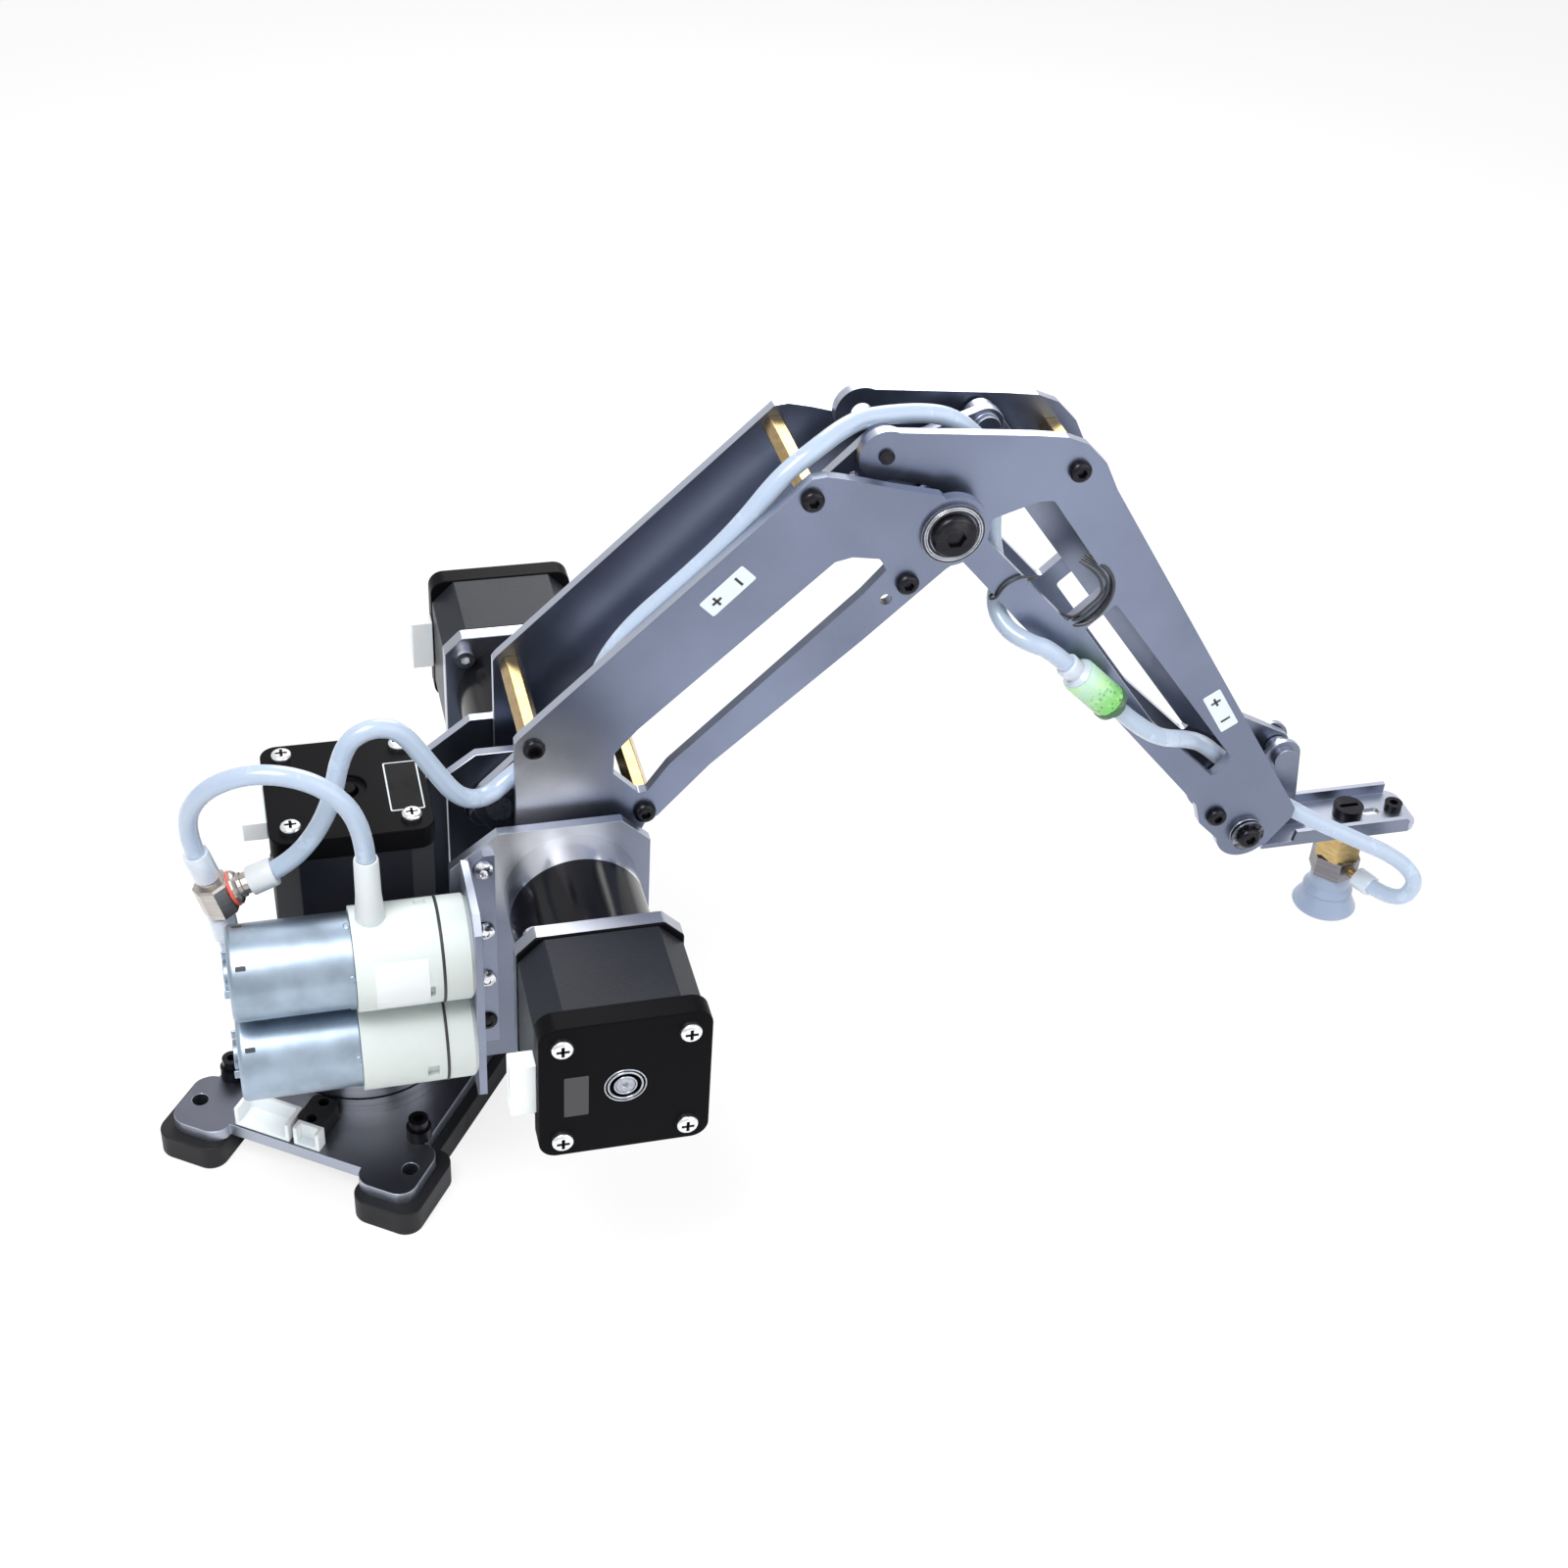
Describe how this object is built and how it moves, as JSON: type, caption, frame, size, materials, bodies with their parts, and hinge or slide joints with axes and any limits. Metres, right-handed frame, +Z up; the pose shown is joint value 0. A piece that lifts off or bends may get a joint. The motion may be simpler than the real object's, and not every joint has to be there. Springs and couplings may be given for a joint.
{
  "type": "robot arm",
  "caption": "Desktop palletizing robot arm: geared stepper motors on a turning tower, linked plate arm and forearm, levelled wrist tray with a vacuum cup.",
  "frame": {"origin": "on the bench under the base, midway between the four base bolts", "axes": "+Z up, +X along the base plate away from the turntable end, +Y to its left"},
  "size_m": [0.2549, 0.316, 0.2127],
  "materials": {
    "plate": "satin anodised sheet with bright cut edges",
    "motor_cover": "cast aluminium end covers",
    "motor_black": "black oxide laminations",
    "gearbox": "black ring gear with a bright nose",
    "steel": "turned steel",
    "black_screw": "black oxide screws",
    "bright_screw": "zinc plated screws",
    "brass": "hex brass",
    "foot": "black moulded foot",
    "white_plastic": "white nylon",
    "pump_head": "off-white moulded pump head",
    "pump_can": "nickel plated motor can",
    "tube": "translucent silicone tube",
    "cup": "pale blue silicone",
    "filter": "clear filter bowl with green element"
  },
  "bodies": {
    "base": {"base_plate": "plate", "foot_rail_left": "foot", "foot_rail_right": "foot", "base_screws": "black_screw", "base_connector": "white_plastic", "stop_block": "foot", "yaw_hub": "steel", "lower_bearing_ring": "steel"},
    "tower": {"turntable_ring": "steel", "yaw_gearbox": "gearbox", "yaw_motor_covers": "motor_cover", "yaw_motor_stator": "motor_black", "forearm_gearbox": "gearbox", "forearm_motor_covers": "motor_cover", "forearm_motor_stator": "motor_black", "shoulder_gearbox": "gearbox", "shoulder_motor_covers": "motor_cover", "shoulder_motor_stator": "motor_black", "motor_connectors": "white_plastic", "tower_front_plate": "plate", "tower_rear_plate": "plate", "tower_floor": "plate", "link_anchor_plate": "plate", "tower_screws": "bright_screw", "pump_bracket": "plate", "upper_pump_head": "pump_head", "upper_pump_motor": "pump_can", "lower_pump_head": "pump_head", "lower_pump_motor": "pump_can", "pump_tube": "tube", "lower_pump_tube": "tube", "shoulder_tube": "tube", "tube_tee": "steel"},
    "arm": {"arm_near_plate": "plate", "arm_far_plate": "plate", "arm_standoffs": "brass", "arm_screws": "black_screw", "shoulder_output_hub": "steel", "arm_bearings": "steel", "elbow_axle": "black_screw", "elbow_rear_tube": "tube"},
    "crank": {"drive_crank": "plate"},
    "crank_pin": {"crank_pin": "steel"},
    "drive_rod": {"drive_rod": "plate"},
    "elbow_triangle": {"elbow_triangle": "plate"},
    "arm_levelling_rod": {"arm_levelling_rod": "plate"},
    "forearm": {"forearm_near_plate": "plate", "forearm_far_plate": "plate", "forearm_standoffs": "brass", "forearm_screws": "black_screw", "forearm_pins": "steel", "elbow_front_tube": "tube", "line_filter": "filter", "tool_tube": "tube"},
    "forearm_levelling_rod": {"forearm_levelling_rod": "plate"},
    "tool": {"tool_bracket": "plate", "tool_screws": "black_screw", "cup_fitting": "brass", "cup_nut": "black_screw", "suction_cup": "cup"}
  },
  "joints": [
    {"name": "base_yaw", "type": "hinge", "parent": "base", "child": "tower", "pos_m": [-0.0195, 0, 0], "axis": [0, 0, 1], "range_deg": [-35, 145]},
    {"name": "shoulder", "type": "hinge", "parent": "tower", "child": "arm", "pos_m": [0.01204, -0.04555, 0.088], "axis": [-0.8221, -0.5693, 0], "range_deg": [-35, 15], "deforming": ["shoulder_tube"]},
    {"name": "triangle_level", "type": "hinge", "parent": "arm", "child": "elbow_triangle", "pos_m": [0.068, -0.12636, 0.185], "axis": [-0.8221, -0.5693, 0], "range_deg": [-15, 35], "deforming": ["elbow_rear_tube"]},
    {"name": "elbow", "type": "hinge", "parent": "elbow_triangle", "child": "forearm", "pos_m": [0.068, -0.12636, 0.185], "axis": [-0.8221, -0.5693, 0], "range_deg": [-20, 30], "deforming": ["elbow_front_tube"]},
    {"name": "wrist_level", "type": "hinge", "parent": "forearm", "child": "tool", "pos_m": [0.12874, -0.21409, 0.067], "axis": [-0.8221, -0.5693, 0], "range_deg": [-30, 20], "deforming": ["tool_tube"]},
    {"name": "crank_turn", "type": "hinge", "parent": "tower", "child": "crank", "pos_m": [0.01204, -0.04555, 0.088], "axis": [-0.8221, -0.5693, 0], "range_deg": [-20, 30]},
    {"name": "crank_pin_turn", "type": "hinge", "parent": "crank", "child": "crank_pin", "pos_m": [0.00247, -0.03173, 0.1069], "axis": [-0.8221, -0.5693, 0], "range_deg": [-30, 20]},
    {"name": "drive_rod_turn", "type": "hinge", "parent": "crank_pin", "child": "drive_rod", "pos_m": [0.00247, -0.03173, 0.1069], "axis": [-0.8221, -0.5693, 0], "range_deg": [-35, 15]},
    {"name": "arm_rod_turn", "type": "hinge", "parent": "tower", "child": "arm_levelling_rod", "pos_m": [0.00105, -0.02968, 0.0932], "axis": [-0.8221, -0.5693, 0], "range_deg": [-35, 15]},
    {"name": "forearm_rod_turn", "type": "hinge", "parent": "elbow_triangle", "child": "forearm_levelling_rod", "pos_m": [0.07597, -0.13787, 0.2025], "axis": [-0.8221, -0.5693, 0], "range_deg": [-20, 30]}
  ],
  "couplings": [
    {"joint": "triangle_level", "follows": "shoulder", "ratio": -1},
    {"joint": "drive_rod_turn", "follows": "shoulder", "ratio": 1},
    {"joint": "arm_rod_turn", "follows": "shoulder", "ratio": 1},
    {"joint": "wrist_level", "follows": "elbow", "ratio": -1},
    {"joint": "crank_turn", "follows": "elbow", "ratio": 1},
    {"joint": "crank_pin_turn", "follows": "elbow", "ratio": -1},
    {"joint": "forearm_rod_turn", "follows": "elbow", "ratio": 1}
  ]
}
